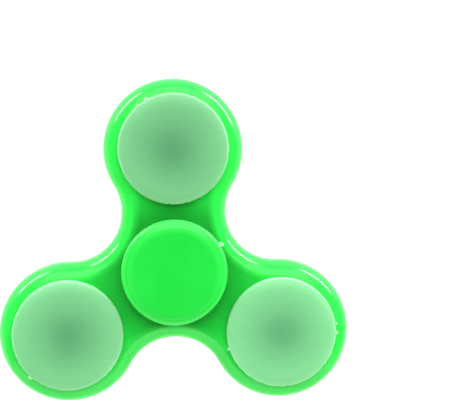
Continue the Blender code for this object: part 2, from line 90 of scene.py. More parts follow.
def softbox(name, azimuth, elevation, distance, width, height, watts):
    """An area light that faces the spinner from this direction, in degrees."""
    light = bpy.data.lights.new(name, "AREA")
    light.energy = watts
    light.shape = "RECTANGLE"
    light.size = width
    light.size_y = height
    lamp = placed(name, light)
    flat, up = math.radians(azimuth), math.radians(elevation)
    towards = Vector((math.cos(flat) * math.cos(up), math.sin(flat) * math.cos(up), math.sin(up)))
    lamp.location = towards * distance
    lamp.rotation_euler = towards.to_track_quat("Z", "Y").to_euler()


softbox("left_softbox", 135, 7, 0.60, 0.36, 0.09, 3.0)
softbox("right_softbox", 42, 8, 0.60, 0.42, 0.09, 3.9)
softbox("back_sheet", 85, 46, 0.90, 1.10, 0.75, 8.0)
softbox("front_fill", 270, 26, 0.90, 2.40, 0.70, 10.5)

world = bpy.data.worlds.new("studio")
world.use_nodes = True
plug(world.node_tree, world.node_tree.nodes["Background"], {"Color": (1, 1, 1, 1), "Strength": room_light})
bpy.context.scene.world = world
bpy.context.scene.view_settings.view_transform = "Standard"

camera_data = bpy.data.cameras.new("camera")
camera_data.lens = camera_lens
camera = placed("camera", camera_data)
lean_x, lean_y, lean_z = (math.radians(-angle) for angle in camera_lean)
camera.matrix_world = (
    Matrix.Translation(camera_place)
    @ Matrix.Rotation(lean_y, 4, "Y")
    @ Matrix.Rotation(lean_x, 4, "X")
    @ Matrix.Rotation(lean_z, 4, "Z")
)
bpy.context.scene.camera = camera

# ------------------------------------------------------------ three-lobed frame
# One injection-moulded piece of phosphorescent green plastic, 10 mm thick with fully rounded
# edges. A faint parting line runs round its side where the two halves of the mould met.

frame_low, frame_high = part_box("spinner_frame")
mid_height = (frame_low.z + frame_high.z) / 2
frame_thickness = frame_high.z - frame_low.z
hub_centre = Vector((0, 0, mid_height))
lobe_centres = []
for number in (1, 2, 3):
    cap_low, cap_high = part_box(f"light_cap_{number}")
    lobe_centres.append(Vector(((cap_low.x + cap_high.x) / 2, (cap_low.y + cap_high.y) / 2, 0)))
lobe_pitch = lobe_centres[0].length
lobe_radius = frame_high.y - lobe_pitch
lobe_angles = (90, 210, 330)
hollow_nearest = 0.0145  # spin axis to the nearest point of the hollow between two lobes
edge_radius = 0.0040
bore_radius = 0.0111
mouth_chamfer = 0.00012
parting_height = 0.00005
parting_reach = 0.00018
parting_half_width = 0.00006
moulding_edge_light_roundness = 0.0004  # the roundness at which an edge of a moulding gets its full painted edge light
glow_dark = (0.015, 0.70, 0.054)
glow_light = (0.020, 0.77, 0.066)
# Painted light along the edges of the green mouldings, in this lighter green.
glow_edge_light = (0.060, 0.88, 0.110)
edge_light_bulge = (0.02, 0.14)  # where the painted edge light starts and where it is full
edge_light_strength = 0.5
# Painted shade on the frame's flats round the hub: the levels of the flats, how far out the shade reaches and
# how dark it gets.
flat_levels = (0.0046, 0.00499)  # from the middle plane, just under the flats and on them
painted_hub_shade_reach = (0.0120, 0.0180)
frame_painted_hub_shade = 0.46
lobe_steps = 150
hollow_steps = 60


def arc(centre, radius, start, end, steps):
    """Points along an arc from one angle to another, in degrees, both ends included."""
    points = []
    for step in range(steps + 1):
        turn = math.radians(start + (end - start) * step / steps)
        points.append((centre[0] + radius * math.cos(turn), centre[1] + radius * math.sin(turn)))
    return points


def add(tree, kind, inputs=(), **settings):
    """A node with its settings, and with its inputs set or linked."""
    made = tree.nodes.new(kind)
    for key, value in settings.items():
        setattr(made, key, value)
    plug(tree, made, inputs)
    return made


def calc(tree, operation, *values):
    """A Math node's result."""
    return add(tree, "ShaderNodeMath", enumerate(values), operation=operation).outputs[0]


def vector_calc(tree, operation, *values):
    """A Vector Math node's vector."""
    return add(tree, "ShaderNodeVectorMath", enumerate(values), operation=operation).outputs[0]


def scaled(tree, vector, factor):
    """A vector or a colour times a factor."""
    node = add(tree, "ShaderNodeVectorMath", {0: vector, "Scale": factor}, operation="SCALE")
    return node.outputs[0]


def xyz(tree, vector):
    """A vector's three parts, named X, Y and Z."""
    return add(tree, "ShaderNodeSeparateXYZ", {0: vector}).outputs


def remap(tree, value, low, high, to_low=0.0, to_high=1.0):
    """The value moved from one range into another, and held at its ends."""
    ranges = {0: value, 1: low, 2: high, 3: to_low, 4: to_high}
    return add(tree, "ShaderNodeMapRange", ranges).outputs[0]


def new_tree(name, inputs):
    """A Geometry Nodes tree with a geometry input, then the named inputs. It ends in keep()."""
    tree = bpy.data.node_groups.new(name, "GeometryNodeTree")
    tree.interface.new_socket("Geometry", in_out="INPUT", socket_type="NodeSocketGeometry")
    for label, (kind, value) in inputs.items():
        socket = tree.interface.new_socket(label, in_out="INPUT", socket_type=f"NodeSocket{kind}")
        if value is not None:
            socket.default_value = value
    tree.interface.new_socket("Geometry", in_out="OUTPUT", socket_type="NodeSocketGeometry")
    return tree, tree.nodes.new("NodeGroupInput").outputs


def keep(tree, geometry, material):
    """The end of every tree: real geometry in the piece's own material."""
    real = add(tree, "GeometryNodeRealizeInstances", {"Geometry": geometry})
    coated = add(tree, "GeometryNodeSetMaterial", {"Geometry": real.outputs[0], "Material": material})
    add(tree, "NodeGroupOutput", {"Geometry": coated.outputs[0]})


def worked_in(piece):
    """The piece's shape with its modifiers worked in, as a plain mesh."""
    bpy.context.view_layer.update()
    graph = bpy.context.evaluated_depsgraph_get()
    shaped = bpy.data.meshes.new_from_object(piece.evaluated_get(graph))
    piece.modifiers.clear()
    return shaped


def grown(name, source, tree, values):
    """The tree run on a mesh or curve with these input values, as a plain mesh object."""
    host = placed(name + "_source", source)
    modifier = host.modifiers.new(tree.name, "NODES")
    modifier.node_group = tree
    for item in tree.interface.items_tree:
        if item.in_out == "INPUT" and item.name in values:
            modifier[item.identifier] = values[item.name]
    result = worked_in(host)
    bpy.data.objects.remove(host)
    result.name = name
    while result.materials and result.materials[0] is None:
        result.materials.pop(index=0)
    return placed(name, result)


def smooth(piece, sharp=35):
    """Round faces shaded smooth, with edges sharper than this angle kept crisp."""
    for polygon in piece.data.polygons:
        polygon.use_smooth = True
    piece.data.set_sharp_from_angle(angle=math.radians(sharp))


def mark_bulges(piece, tightest, flat_reach=0.003):
    """Stores how tightly each point of the surface bulges: the green and frosted mouldings show it as painted
    edge light, the other finishes as edges rubbed lighter by handling.
    An edge longer than the flat reach lies on a flat face."""
    form = bmesh.new()
    form.from_mesh(piece.data)
    bulges = []
    for vert in form.verts:
        if max(edge.calc_length() for edge in vert.link_edges) > flat_reach:
            bulges.append(0)
            continue
        area = sum(face.calc_area() for face in vert.link_faces) / 3  # a third falls to each corner
        bend = sum(edge.calc_face_angle_signed(0) * edge.calc_length() for edge in vert.link_edges) / 4
        bulges.append(min(1, max(0, bend * 2 * tightest / max(area, 1e-14))))
    form.free()
    stored = piece.data.attributes.new("bulge", "FLOAT", "POINT")
    stored.data.foreach_set("value", bulges)


def poly_curve(name, points, closed):
    """A curve through (x, y) points, straight from each to the next."""
    curve = bpy.data.curves.new(name, "CURVE")
    curve.dimensions = "3D"
    spline = curve.splines.new("POLY")
    spline.points.add(len(points) - 1)
    for point, (x, y) in zip(spline.points, points):
        point.co = (x, y, 0, 1)
    spline.use_cyclic_u = closed
    return curve


def lobed_outline():
    """Three lobe arcs joined by three hollow arcs that are tangent to them."""
    half_gap = lobe_pitch * math.sin(math.radians(60))
    along = lobe_pitch * math.cos(math.radians(60))
    lead = hollow_nearest - along
    hollow_radius = (half_gap**2 + lead**2 - lobe_radius**2) / (2 * (lobe_radius - lead))
    hollow_pitch = hollow_nearest + hollow_radius
    points = []
    for centre, angle in zip(lobe_centres, lobe_angles):
        turn = math.radians(angle + 60)
        hollow = Vector((hollow_pitch * math.cos(turn), hollow_pitch * math.sin(turn), 0))
        joining = hollow - centre
        sweep = (math.degrees(math.atan2(joining.y, joining.x)) - angle) % 360
        points += arc(centre, lobe_radius, angle - sweep, angle + sweep, lobe_steps)[:-1]
        points += arc(hollow, hollow_radius, angle + 180 + sweep, angle + 300 - sweep, hollow_steps)[:-1]
    return points


def edge_section():
    """Inset and height round the frame's side, from the top face to the bottom face."""
    half = frame_thickness / 2
    flat_band = 0.0004
    upper = [(edge_radius + flat_band, half)]
    upper += arc((edge_radius, half - edge_radius), edge_radius, 90, 180, 16)
    upper += [(0, parting_reach), (-parting_height, parting_half_width)]
    return upper + [(inset, -height) for inset, height in reversed(upper)]


def point_count(tree, curve):
    return add(tree, "GeometryNodeAttributeDomainSize", {0: curve}, component="CURVE").outputs["Point Count"]


def at_point(tree, curve, value, index):
    """The value of a field at one numbered point of a curve."""
    return add(tree, "GeometryNodeSampleIndex", {
        "Geometry": curve, "Value": value, "Index": index,
    }, data_type="FLOAT_VECTOR", domain="POINT").outputs[0]


def merged(tree, geometry, distance):
    """Geometry with the points that lie this close together made one."""
    node = add(tree, "GeometryNodeMergeByDistance", {"Geometry": geometry, "Distance": distance})
    return node.outputs[0]


def lifted(tree, geometry, height):
    """Geometry raised by this height."""
    move = add(tree, "ShaderNodeCombineXYZ", {"Z": height}).outputs[0]
    return add(tree, "GeometryNodeTransform", {"Geometry": geometry, "Translation": move}).outputs[0]


def copies(tree, points, original, **scale):
    """The original set down on each point, as real geometry."""
    row = add(tree, "GeometryNodeInstanceOnPoints", {"Points": points, "Instance": original, **scale})
    return add(tree, "GeometryNodeRealizeInstances", {"Geometry": row.outputs[0]}).outputs[0]


def taken_out(tree, solid, tools):
    """The solid with the tools' shapes taken out of it."""
    return add(tree, "GeometryNodeMeshBoolean", {
        "Mesh 1": solid, "Mesh 2": tools,
    }, operation="DIFFERENCE", solver="EXACT").outputs[0]


def carried(tree, outline, section):
    """A section of (inset, height) points carried round a closed outline, as one wall of faces."""
    around = point_count(tree, outline)
    down = point_count(tree, section)
    columns = calc(tree, "ADD", around, 1.0)
    lattice = add(tree, "GeometryNodeMeshGrid", {"Vertices X": columns, "Vertices Y": down})
    place = xyz(tree, lattice.outputs["UV Map"])
    whole = calc(tree, "ROUND", calc(tree, "MULTIPLY", place["X"], around))
    column = calc(tree, "FLOORED_MODULO", whole, around)
    last_row = calc(tree, "SUBTRACT", down, 1.0)
    row = calc(tree, "ROUND", calc(tree, "MULTIPLY", place["Y"], last_row))
    position = tree.nodes.new("GeometryNodeInputPosition").outputs[0]
    tangent = tree.nodes.new("GeometryNodeInputTangent").outputs[0]
    start = at_point(tree, outline, position, column)
    heading = at_point(tree, outline, tangent, column)
    offset = xyz(tree, at_point(tree, section, position, row))
    outward = vector_calc(tree, "CROSS_PRODUCT", heading, (0, 0, 1))
    inward = scaled(tree, outward, offset["X"])
    raised = add(tree, "ShaderNodeCombineXYZ", {"Z": offset["Y"]}).outputs[0]
    shifted = vector_calc(tree, "SUBTRACT", start, inward)
    wall = add(tree, "GeometryNodeSetPosition", {
        "Geometry": lattice.outputs["Mesh"],
        "Position": vector_calc(tree, "ADD", shifted, raised),
    })
    return merged(tree, wall.outputs[0], 1e-6)


def flat_face(tree, wall, thickness, upper):
    """The flat face that closes the wall's open rim on one side."""
    neighbours = tree.nodes.new("GeometryNodeInputMeshEdgeNeighbors").outputs[0]
    open_rim = add(tree, "FunctionNodeCompare", {
        "A": neighbours, "B": 1,
    }, data_type="INT", operation="EQUAL").outputs[0]
    height = xyz(tree, tree.nodes.new("GeometryNodeInputPosition").outputs[0])["Z"]
    side = calc(tree, "GREATER_THAN" if upper else "LESS_THAN", height, 0.0)
    chosen = add(tree, "FunctionNodeBooleanMath", {0: open_rim, 1: side}, operation="AND").outputs[0]
    rim = add(tree, "GeometryNodeMeshToCurve", {"Mesh": wall, "Selection": chosen})
    flat = add(tree, "GeometryNodeFillCurve", {"Curve": rim.outputs[0]}, mode="TRIANGLES")
    if not upper:
        flat = add(tree, "GeometryNodeFlipFaces", {"Mesh": flat.outputs[0]})
    half_way = 0.5 if upper else -0.5
    return lifted(tree, flat.outputs[0], calc(tree, "MULTIPLY", thickness, half_way))


def moulded_frame_tree():
    """A wall carried round the lobes and two flat faces, with the bores taken out of the solid."""
    tree, given = new_tree("moulded_frame", {
        "Edge Section": ("Object", None),
        "Bore": ("Object", None),
        "Bore Places": ("Object", None),
        "Thickness": ("Float", 0.010),
        "Height": ("Float", 0.0078),
        "Material": ("Material", None),
    })
    edge, bore, places = (
        add(tree, "GeometryNodeObjectInfo", {"Object": given[label]}).outputs["Geometry"]
        for label in ("Edge Section", "Bore", "Bore Places")
    )
    wall = add(tree, "GeometryNodeFlipFaces", {"Mesh": carried(tree, given["Geometry"], edge)}).outputs[0]
    solid = tree.nodes.new("GeometryNodeJoinGeometry")
    tree.links.new(wall, solid.inputs[0])
    for upper in (True, False):
        tree.links.new(flat_face(tree, wall, given["Thickness"], upper), solid.inputs[0])
    sealed = merged(tree, solid.outputs[0], 2e-6)
    bored = taken_out(tree, sealed, copies(tree, places, bore))
    keep(tree, lifted(tree, bored, given["Height"]), given["Material"])
    return tree


def new_finish(name):
    """A material, its nodes and the coordinates of the piece that wears it."""
    made = bpy.data.materials.new(name)
    made.use_nodes = True
    return made, made.node_tree, made.node_tree.nodes.new("ShaderNodeTexCoord").outputs["Object"]


def flecks(tree, where, scale, detail):
    """The level of a noise texture."""
    return add(tree, "ShaderNodeTexNoise", {"Vector": where, "Scale": scale, "Detail": detail}).outputs[0]


def tints(tree, level, dark, light, start=0.3, end=0.7):
    """A colour that goes from dark to light between two levels."""
    ramp = add(tree, "ShaderNodeValToRGB", {0: level})
    for element, place, colour in zip(ramp.color_ramp.elements, (start, end), (dark, light)):
        element.position = place
        element.color = (*colour, 1)
    return ramp.outputs[0]


def blended(tree, amount, first, second):
    """The first colour with an amount of the second mixed in."""
    mixed = {"Factor": amount, "A": first, "B": (*second, 1)}
    return add(tree, "ShaderNodeMix", mixed, data_type="RGBA").outputs["Result"]


def bulging(tree):
    """How tightly the surface bulges, as mark_bulges stored it."""
    return add(tree, "ShaderNodeAttribute", attribute_name="bulge").outputs["Fac"]


def bumps(tree, height, strength, distance=0.0001):
    """Fine relief in the way a surface catches the light."""
    relief = {"Height": height, "Strength": strength, "Distance": distance}
    return add(tree, "ShaderNodeBump", relief).outputs[0]


def from_axis(tree, where, centre):
    """Coordinates with their origin at this centre, and the distance from its upright axis."""
    centred = add(tree, "ShaderNodeMapping", {"Vector": where, "Location": -centre}).outputs[0]
    flat = vector_calc(tree, "MULTIPLY", centred, (1, 1, 0))
    return centred, add(tree, "ShaderNodeVectorMath", {0: flat}, operation="LENGTH").outputs["Value"]


def shade(tree, inputs):
    """The shader's inputs, each set or linked."""
    plug(tree, tree.nodes["Principled BSDF"], inputs)


def glow_plastic(name, painted_hub_shade):
    """Glossy green plastic with the pigment's slight clouding, faint flow waves and handling dulls.
    It has painted light along its edges and painted shade, darkened towards black, on the flats round the
    hub."""
    made, tree, where = new_finish(name)
    cloud = tints(tree, flecks(tree, where, 90.0, 3.0), glow_dark, glow_light)
    # Painted light: the bulging edges are mixed towards a lighter green.
    edge_lit = blended(tree, remap(tree, bulging(tree), *edge_light_bulge, 0.0, edge_light_strength), cloud, glow_edge_light)
    # Painted shade: the flats near the hub are darkened towards black, where the pad and caps shade them.
    level, away = from_axis(tree, where, hub_centre)
    rise = calc(tree, "ABSOLUTE", xyz(tree, level)["Z"])
    on_flat = remap(tree, rise, *flat_levels)
    hub_shade_amount = remap(tree, away, *painted_hub_shade_reach, painted_hub_shade, 0.0)
    hub_shaded = blended(tree, calc(tree, "MULTIPLY", on_flat, hub_shade_amount), edge_lit, (0.0, 0.0, 0.0))
    shade(tree, {
        "Base Color": hub_shaded,
        "Roughness": remap(tree, flecks(tree, where, 220.0, 4.0), 0.35, 0.75, 0.13, 0.24),
        "Normal": bumps(tree, flecks(tree, where, 260.0, 1.0), 0.05, 0.0004),
        "IOR": 1.49,
        "Specular IOR Level": 0.32,
        "Subsurface Weight": 0.12,
        "Subsurface Radius": (0.4, 1.0, 0.5),
        "Subsurface Scale": 0.0009,
    })
    return made


def close_shell(piece):
    """Doubles merged and every face turned outwards."""
    form = bmesh.new()
    form.from_mesh(piece.data)
    bmesh.ops.remove_doubles(form, verts=form.verts, dist=2e-6)
    bmesh.ops.dissolve_degenerate(form, edges=form.edges, dist=1e-6)
    bmesh.ops.recalc_face_normals(form, faces=form.faces)
    form.to_mesh(piece.data)
    form.free()


def from_form(name, form):
    """A solid from the form that was worked on, with every face turned outwards."""
    data = bpy.data.meshes.new(name)
    bmesh.ops.recalc_face_normals(form, faces=form.faces)
    form.to_mesh(data)
    form.free()
    return placed(name, data)


def turned(name, outline, steps=192, closed=False):
    """An outline of (radius, height) points turned about the Z axis. A point on the axis closes
    the form there, and a closed outline makes a ring."""
    form = bmesh.new()
    rows = []
    for radius, height in outline:
        if radius == 0:
            rows.append([form.verts.new((0, 0, height))])
            continue
        rows.append([
            form.verts.new((radius * math.cos(turn), radius * math.sin(turn), height))
            for turn in (math.tau * step / steps for step in range(steps))
        ])
    pairs = list(zip(rows, rows[1:]))
    if closed:
        pairs.append((rows[-1], rows[0]))
    for upper, lower in pairs:
        for step in range(steps):
            after = (step + 1) % steps
            corners = [upper[step % len(upper)], lower[step % len(lower)]]
            if len(lower) > 1:
                corners.append(lower[after])
            if len(upper) > 1:
                corners.append(upper[after])
            form.faces.new(corners)
    return from_form(name, form)


frame_green = glow_plastic("frame_green", frame_painted_hub_shade)
edge_line = placed("edge_line", poly_curve("edge_line", edge_section(), closed=False))
half = frame_thickness / 2
bore_cutter = turned("bore_cutter", [
    (0, half + mouth_chamfer),
    (bore_radius + 2 * mouth_chamfer, half + mouth_chamfer),
    (bore_radius, half - mouth_chamfer),
    (bore_radius, mouth_chamfer - half),
    (bore_radius + 2 * mouth_chamfer, -half - mouth_chamfer),
    (0, -half - mouth_chamfer),
], 160)
bore_points = bpy.data.meshes.new("bore_points")
bore_points.from_pydata([(0, 0, 0), *lobe_centres], [], [])
bore_marks = placed("bore_marks", bore_points)
moulded_frame = grown(
    "moulded_frame",
    poly_curve("lobed_outline", lobed_outline(), closed=True),
    moulded_frame_tree(),
    {
        "Edge Section": edge_line,
        "Bore": bore_cutter,
        "Bore Places": bore_marks,
        "Thickness": frame_thickness,
        "Height": mid_height,
        "Material": frame_green,
    },
)
for drawn in (edge_line, bore_cutter, bore_marks):
    bpy.data.objects.remove(drawn)
close_shell(moulded_frame)
smooth(moulded_frame, 8)
mark_bulges(moulded_frame, moulding_edge_light_roundness, flat_reach=0.0012)
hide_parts("spinner_frame")
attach(moulded_frame, "spinner")

# ------------------------------------------------------------ finger pads
# Two alike, moulded in the same green plastic: a flat face for the fingertip, a soft shoulder
# round it and a stem that is pressed into the bearing's bore until the boss meets the ring.

pad_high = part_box("finger_pad_top")[1]
pad_radius = pad_high.x
pad_face = pad_high.z - mid_height
pad_flat_radius = 0.0079
pad_shoulder_drop = 0.00035
pad_rim_radius = 0.0010
pad_underside = 0.0056
pad_boss_radius = 0.0055
pad_stem_radius = 0.0039
ring_face = 0.0036
pad_stem_end = 0.0002
pad_gate_angle = 31
pad_nib_size = (0.0005, 0.0005, 0.00028)
pad_nib_reach = 0.0002
pad_nib_drop = 0.0009
torn_green_tint = (0.40, 0.92, 0.45)


def rounded(outline, radius, steps=4):
    """The outline with each inner corner replaced by a small arc, and its two ends left alone."""
    done = [outline[0]]
    for before, corner, after in zip(outline, outline[1:], outline[2:]):
        here = Vector(corner)
        back = Vector(before) - here
        ahead = Vector(after) - here
        cut = min(radius, 0.45 * back.length, 0.45 * ahead.length)
        start = here + back.normalized() * cut
        end = here + ahead.normalized() * cut
        if abs(back.normalized().cross(ahead.normalized())) < 0.1:
            done.append(corner)
            continue
        for step in range(steps + 1):
            t = step / steps
            done.append(tuple((1 - t) ** 2 * start + 2 * t * (1 - t) * here + t**2 * end))
    return done + [outline[-1]]


def put(piece, turn=0.0, place=(0, 0, 0), flip=False):
    """Turns the piece about Z and moves it, in its mesh, so its object stays at the origin."""
    half_turn = Matrix.Rotation(math.pi, 4, "X") if flip else Matrix.Identity(4)
    piece.data.transform(Matrix.Translation(place) @ Matrix.Rotation(turn, 4, "Z") @ half_turn)


def cut(piece, tool, operation="DIFFERENCE", own_finish=False):
    """Takes the tool's shape out of the piece, or adds it, and leaves one plain mesh."""
    step = piece.modifiers.new("cut", "BOOLEAN")
    step.operation = operation
    step.material_mode = "TRANSFER" if own_finish else "INDEX"
    step.object = tool
    piece.data = worked_in(piece)
    bpy.data.objects.remove(tool)
    close_shell(piece)


def torn_plastic(name, colour):
    """The pale stressed skin of plastic where it was broken off its feed."""
    made, tree, where = new_finish(name)
    grain = flecks(tree, where, 6000.0, 3.0)
    darker = [0.8 * part for part in colour]
    shade(tree, {
        "Base Color": tints(tree, grain, darker, colour, 0.0, 1.0),
        "Normal": bumps(tree, grain, 0.4),
        "Roughness": 0.6,
    })
    return made


def gate_nib(piece, radius, angle, height, size, torn):
    """What is left on a rim where the moulding was broken off its feed: a small torn lump."""
    turn = math.radians(angle)
    form = bmesh.new()
    bmesh.ops.create_icosphere(form, subdivisions=3, radius=1)
    for vert in form.verts:
        vert.co *= 1 + 0.8 * noise.noise(vert.co * 2.4 + Vector((angle, 0, 0)))
    where = Matrix.Translation((radius, 0, height)) @ Matrix.Diagonal((*size, 1))
    form.transform(Matrix.Rotation(turn, 4, "Z") @ where)
    nib = from_form("nib", form)
    nib.data.materials.append(torn)
    cut(piece, nib, "UNION", own_finish=True)


def finger_pad(name):
    """A face that falls softly away to a round rim, a boss at the back and a stem."""
    reach = pad_radius - pad_rim_radius - pad_flat_radius
    face = [(pad_flat_radius * step / 6, pad_face) for step in range(6)]
    shoulder = [
        (pad_flat_radius + reach * step / 8, pad_face - pad_shoulder_drop * (step / 8) ** 3)
        for step in range(9)
    ]
    slope = math.degrees(math.atan2(3 * pad_shoulder_drop, reach))
    rim_middle = pad_face - pad_shoulder_drop - pad_rim_radius * math.cos(math.radians(slope))
    rim = arc((pad_radius - pad_rim_radius, rim_middle), pad_rim_radius, 90 - slope, 0, 8)
    under = rounded([
        (pad_radius, rim_middle - 0.0001),
        (pad_radius, pad_underside),
        (pad_boss_radius, pad_underside),
        (pad_boss_radius, ring_face),
        (pad_stem_radius, ring_face),
        (pad_stem_radius, pad_stem_end),
        (0, pad_stem_end),
    ], 0.0002)
    pad = turned(name, face + shoulder + rim[1:] + under[1:])
    pad.data.materials.append(pad_green)
    return pad


torn_green = torn_plastic("torn_green", torn_green_tint)
pad_green = glow_plastic("pad_green", 0.0)
for name, flip in (("finger_pad_upper", False), ("finger_pad_lower", True)):
    pad = finger_pad(name)
    nib_place = (pad_radius + pad_nib_reach, pad_gate_angle, pad_face - pad_nib_drop)
    gate_nib(pad, *nib_place, pad_nib_size, torn_green)
    smooth(pad, 50)
    mark_bulges(pad, moulding_edge_light_roundness)
    put(pad, place=(0, 0, mid_height), flip=flip)
    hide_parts("finger_pad_bottom" if flip else "finger_pad_top")
    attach(pad, "axle")

# ------------------------------------------------------------ frosted light caps
# The lens of each lamp and its push button in one: a satin, milky green moulding with a small
# round edge. A snap bead on its skirt holds it under the housing's lip. The gate that fed the
# mould is broken off by hand, so a pale nib is left on the rim.

cap_low, cap_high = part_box("light_cap_1")
cap_radius = (cap_high.x - cap_low.x) / 2
cap_face = cap_high.z - mid_height
cap_rim_underside = 0.0056
cap_edge_radius = 0.00055
cap_bevel_reach = 0.0020
cap_bevel_drop = 0.00018
cap_gate_angles = (  # with each nib's half width
    ((119, 0.00050), (129, 0.00025)),
    ((228, 0.00045),),
    ((197, 0.00030), (358, 0.00040), (8, 0.00020)),
)
cap_ragged = 0.00022
cap_tones = (1.00, 1.13, 1.24)
cap_nib_size = (0.00036, 0.00030)  # reach and height
cap_nib_drop = 0.0006
torn_frosted_tint = (0.45, 0.85, 0.50)
cap_painted_shade = (  # painted shade: the colour from the cap's middle, darkest over the dark room under it, out to its rim
    (0.00, (0.080, 0.320, 0.130, 1)),
    (0.20, (0.098, 0.360, 0.148, 1)),
    (0.42, (0.130, 0.435, 0.180, 1)),
    (0.65, (0.155, 0.500, 0.209, 1)),
    (0.88, (0.185, 0.560, 0.236, 1)),
    (1.00, (0.215, 0.615, 0.268, 1)),
)


def frosted_plastic(name, centre, tone):
    """Milky plastic with painted shade that is darkest in its middle, a painted highlight along its rim, a
    fine grain and a few specks.
    """
    made, tree, where = new_finish(name)
    away = from_axis(tree, where, centre)[1]
    drift = remap(tree, flecks(tree, where, 160.0, 4.0), 0.0, 1.0, -0.0011, 0.0011)
    reach = remap(tree, calc(tree, "ADD", away, drift), 0.0, 0.0117)
    # Painted shade: the colour ramp darkens towards the cap's middle.
    colour = add(tree, "ShaderNodeValToRGB", {0: reach})
    ramp = colour.color_ramp.elements
    ramp[0].color = cap_painted_shade[0][1]
    ramp[1].color = cap_painted_shade[-1][1]
    for position, tint in cap_painted_shade[1:-1]:
        ramp.new(position).color = tint
    grain = flecks(tree, where, 5200.0, 2.0)
    speckle = remap(tree, grain, 0.25, 0.75, 0.94 * tone, 1.06 * tone)
    dots = add(tree, "ShaderNodeTexVoronoi", {"Vector": where, "Scale": 520.0, "Randomness": 1.0})
    dot = remap(tree, dots.outputs["Distance"], 0.035, 0.05, 0.3, 0.0)
    # Painted highlight: a pale line along the cap's rounded rim, mixed in with the real pale specks.
    rim = remap(tree, bulging(tree), 0.1, 0.9, 0.0, 0.08)
    pale = calc(tree, "MAXIMUM", dot, rim)
    shade(tree, {
        "Base Color": blended(tree, pale, scaled(tree, colour.outputs[0], speckle), (0.55, 0.85, 0.60)),
        "Normal": bumps(tree, grain, 0.12),
        "Roughness": 0.56,
        "IOR": 1.45,
        "Subsurface Weight": 0.25,
        "Subsurface Radius": (0.6, 1.0, 0.7),
        "Subsurface Scale": 0.0012,
    })
    return made


def light_cap(name, seed):
    """The plate with its slightly ragged rim, the skirt with its bead, and the boss in the middle."""
    flat_radius = cap_radius - cap_edge_radius - cap_bevel_reach
    edge_middle = cap_face - cap_bevel_drop - cap_edge_radius
    face = [(flat_radius * step / 8, cap_face) for step in range(9)]
    face += [
        (flat_radius + cap_bevel_reach * step / 6, cap_face - cap_bevel_drop * (step / 6) ** 2)
        for step in range(1, 7)
    ]
    edge = arc((cap_radius - cap_edge_radius, edge_middle), cap_edge_radius, 80, 0, 7)
    inside = rounded([
        (cap_radius, edge_middle - 0.00005), (cap_radius, cap_rim_underside),
        (0.0092, cap_rim_underside), (0.0092, 0.0039), (0.0097, 0.0039), (0.0092, 0.0032),
        (0.0084, 0.0032), (0.0084, 0.0057), (0.0020, 0.0057), (0.0020, 0.0046), (0, 0.0046),
    ], 0.00015)
    cap = turned(name, face + edge + inside[1:], 256)
    for vert in cap.data.vertices:
        out = vert.co.xy.length
        if out > cap_radius - cap_edge_radius and vert.co.z > cap_rim_underside + 0.00005:
            chipped = noise.noise(Vector((vert.co.x, vert.co.y, 0)) * 1300 + Vector((0, 0, seed)))
            vert.co.xy *= 1 - cap_ragged * max(0, chipped) / out
    return cap


torn_frosted = torn_plastic("torn_frosted", torn_frosted_tint)
nib_reach, nib_height = cap_nib_size
for number, (centre, gates, tone) in enumerate(zip(lobe_centres, cap_gate_angles, cap_tones), 1):
    cap = light_cap(f"frosted_cap_{number}", number * 7.0)
    cap.data.materials.append(frosted_plastic(f"frosted_plastic_{number}", centre, tone))
    for gate, width in gates:
        gate_nib(cap, cap_radius, gate, cap_face - cap_nib_drop, (nib_reach, width, nib_height), torn_frosted)
    put(cap, place=centre + Vector((0, 0, mid_height)))
    smooth(cap, 50)
    mark_bulges(cap, moulding_edge_light_roundness)
    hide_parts(f"light_cap_{number}")
    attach(cap, f"light_button_{number}")

# ------------------------------------------------------------ ball bearing
# A standard 8 x 22 x 7 mm bearing pressed into the hub's bore. Its rings are ground, its seven
# balls are lapped and polished, its crown cage is nylon, and its two shields are pressed sheet.

ring_half_width = 0.0035
ring_outer_radius = 0.0110
ring_bore_radius = 0.0040
inner_shoulder = 0.0061
outer_shoulder = 0.0089
shield_seat_radius = 0.0097
shield_seat = 0.0029
ball_count = 7
ball_radius = 0.00195
ball_pitch = 0.0075
groove_radius = 0.00212
pocket_radius = 0.00215
shield_thickness = 0.0002
ground_edge = 0.0002  # the roundness at which an edge of a small part counts as fully rubbed


def finish(name, dark, light, spread, gloss, grain, relief=0.08, metal=0.0, rings=None):
    """A tint that drifts between two colours, smeared gloss, a fine grain and edges that handling
    has rubbed lighter. With rings, the grain runs round that axis, as on turned or ground metal."""
    made, tree, where = new_finish(name)
    lay = where
    if rings:
        centred, away = from_axis(tree, where, rings)
        lay = add(tree, "ShaderNodeCombineXYZ", {"X": away, "Z": xyz(tree, centred)["Z"]}).outputs[0]
    tint = tints(tree, flecks(tree, where, spread, 4.0), dark, light)
    smear = flecks(tree, where, spread * 3, 3.0)
    shade(tree, {
        "Base Color": scaled(tree, tint, remap(tree, bulging(tree), 0.2, 1.0, 1.0, 1.2)),
        "Roughness": remap(tree, smear, 0.3, 0.7, *gloss),
        "Normal": bumps(tree, flecks(tree, lay, grain, 2.0), relief),
        "Metallic": metal,
    })
    return made


def fit(piece, node, body, material):
    """The piece stands for its CAD node, moves with its body and takes its finish."""
    if not piece.data.materials:
        piece.data.materials.append(material)
    smooth(piece, 40)
    mark_bulges(piece, ground_edge)
    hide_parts(node)
    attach(piece, body)


def ring(name, outline, corner):
    """A closed outline with rounded corners, turned to a ring round the hub's axis."""
    made = turned(name, rounded(outline + outline[:1], corner)[:-1], 144, closed=True)
    put(made, place=hub_centre)
    return made


def raceway(shoulder, facing):
    """The groove that the balls run in, between the two shoulders of one ring."""
    half_open = math.degrees(math.acos(abs(shoulder - ball_pitch) / groove_radius))
    return arc((ball_pitch, 0), groove_radius, facing - half_open, facing + half_open, 28)


